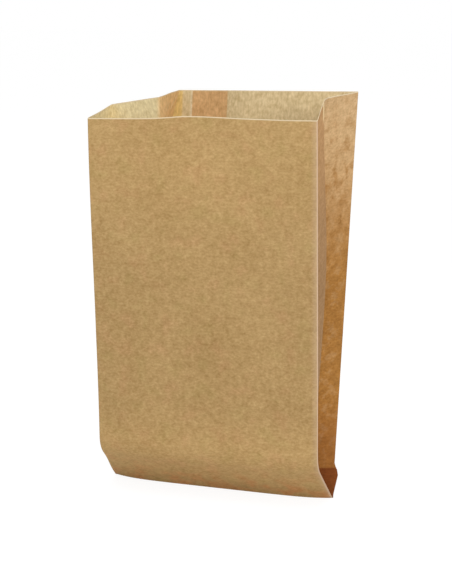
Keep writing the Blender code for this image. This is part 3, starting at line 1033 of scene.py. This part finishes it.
def stage_material(name, colour, own_share, own_strength):
    """A matt surface that shows the camera some light of its own too, and nothing else any.
    The two add up to white where nothing shades it."""
    material = bpy.data.materials.new(name)
    material.use_nodes = True
    tree = material.node_tree
    tree.nodes.clear()
    wire = Wiring(tree)
    matt = wire.add("ShaderNodeBsdfDiffuse")
    matt.inputs["Color"].default_value = opaque(colour)
    shown = wire.add("ShaderNodeEmission")
    shown.inputs["Strength"].default_value = own_strength
    seen = wire.add("ShaderNodeMixShader")
    wire.put(seen.inputs["Fac"], wire.math("MULTIPLY", wire.straight_view(), own_share))
    wire.put(seen.inputs[1], matt.outputs[0])
    wire.put(seen.inputs[2], shown.outputs[0])
    output = wire.add("ShaderNodeOutputMaterial")
    wire.put(output.inputs["Surface"], seen.outputs[0])
    return material


def set_world(fill):
    """An even white surround: full white to the camera, weaker as a light."""
    world = bpy.data.worlds.new("studio")
    bpy.context.scene.world = world
    world.use_nodes = True
    tree = world.node_tree
    tree.nodes.clear()
    wire = Wiring(tree)
    direct = wire.straight_view()
    background = wire.add("ShaderNodeBackground")
    background.inputs["Color"].default_value = WHITE
    strength = wire.math("ADD", wire.math("MULTIPLY", direct, 1.0 - fill), fill)
    wire.put(background.inputs["Strength"], strength)
    output = wire.add("ShaderNodeOutputWorld")
    wire.put(output.inputs["Surface"], background.outputs[0])


def add_lamp(name, place, aim, width, power):
    """Hang a round soft lamp at a place and turn it to its aim."""
    light = bpy.data.lights.new(name, "AREA")
    light.shape = "DISK"
    light.size = width
    light.energy = power
    lamp = bpy.data.objects.new(name, light)
    lamp.location = place
    lamp.rotation_euler = (Vector(aim) - Vector(place)).to_track_quat("-Z", "Y").to_euler()
    bpy.context.scene.collection.objects.link(lamp)


def add_camera(settings):
    """A camera that looks at the bag from the right and a little above."""
    turn, rise, roll = settings.azimuth, settings.elevation, settings.roll
    right = Vector((math.cos(turn), math.sin(turn), 0.0))
    flat = math.cos(rise)
    forward = Vector((-math.sin(turn) * flat, math.cos(turn) * flat, -math.sin(rise)))
    up = right.cross(forward)
    across = right * math.cos(roll) + up * math.sin(roll)
    upward = up * math.cos(roll) - right * math.sin(roll)
    data = bpy.data.cameras.new("camera")
    data.lens = settings.lens
    data.sensor_width = SENSOR
    data.shift_x = settings.shift
    camera = bpy.data.objects.new("camera", data)
    turned = Matrix((across, upward, -forward)).transposed().to_4x4()
    camera.matrix_world = Matrix.Translation(Vector(settings.aim) - forward * settings.distance) @ turned
    bpy.context.scene.collection.objects.link(camera)
    bpy.context.scene.camera = camera


class PAPERBAG_OT_sheet(bpy.types.Operator):
    """Fold the kraft sheet into the standing bag and give it its material"""
    bl_idname = "paperbag.sheet"
    bl_label = "Fold the sheet"

    def execute(self, context):
        settings = context.scene.paper_bag
        mesh = sheet_mesh(settings)
        mesh.materials.append(kraft_material(settings))
        bag = bpy.data.objects.new("kraft_bag", mesh)
        context.scene.collection.objects.link(bag)
        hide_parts("paper_bag")
        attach(bag, "root")
        return {"FINISHED"}


class PAPERBAG_OT_stage(bpy.types.Operator):
    """Lay the floor, hang the two lamps and set up the camera"""
    bl_idname = "paperbag.stage"
    bl_label = "Set the stage"

    def execute(self, context):
        settings = context.scene.paper_stage
        context.scene.view_settings.view_transform = "Standard"
        bpy.ops.mesh.primitive_plane_add(size=FLOOR_SIZE, location=(0.0, 0.0, -FLOOR_DROP))
        floor = context.object
        floor.name = "floor"
        white = stage_material("floor_white", settings.floor_colour, FLOOR_OWN_SHARE, FLOOR_OWN_STRENGTH)
        floor.data.materials.append(white)
        set_world(settings.fill)
        add_lamp("key", KEY_PLACE, settings.aim, KEY_WIDTH, settings.key_power)
        add_lamp("top", TOP_PLACE, settings.aim, TOP_WIDTH, settings.top_power)
        add_camera(settings)
        return {"FINISHED"}


class PAPERBAG_PT_panel(bpy.types.Panel):
    """Lists what the bag is made with"""
    bl_label = "Paper bag"
    bl_space_type = "VIEW_3D"
    bl_region_type = "UI"
    bl_category = "Paper bag"

    def draw(self, context):
        layout = self.layout
        for settings, operator in ((context.scene.paper_bag, PAPERBAG_OT_sheet.bl_idname),
                                   (context.scene.paper_stage, PAPERBAG_OT_stage.bl_idname)):
            layout.operator(operator)
            column = layout.column(align=True)
            for name in settings.__annotations__:
                column.prop(settings, name)


CLASSES = (PaperBagSettings, PaperStageSettings, PAPERBAG_OT_sheet, PAPERBAG_OT_stage, PAPERBAG_PT_panel)


def register():
    for item in CLASSES:
        bpy.utils.register_class(item)
    bpy.types.Scene.paper_bag = PointerProperty(type=PaperBagSettings)
    bpy.types.Scene.paper_stage = PointerProperty(type=PaperStageSettings)


def unregister():
    del bpy.types.Scene.paper_stage
    del bpy.types.Scene.paper_bag
    for item in reversed(CLASSES):
        bpy.utils.unregister_class(item)


def main():
    """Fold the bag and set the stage."""
    register()
    bpy.ops.paperbag.sheet()
    bpy.ops.paperbag.stage()


if __name__ == "__main__":
    main()
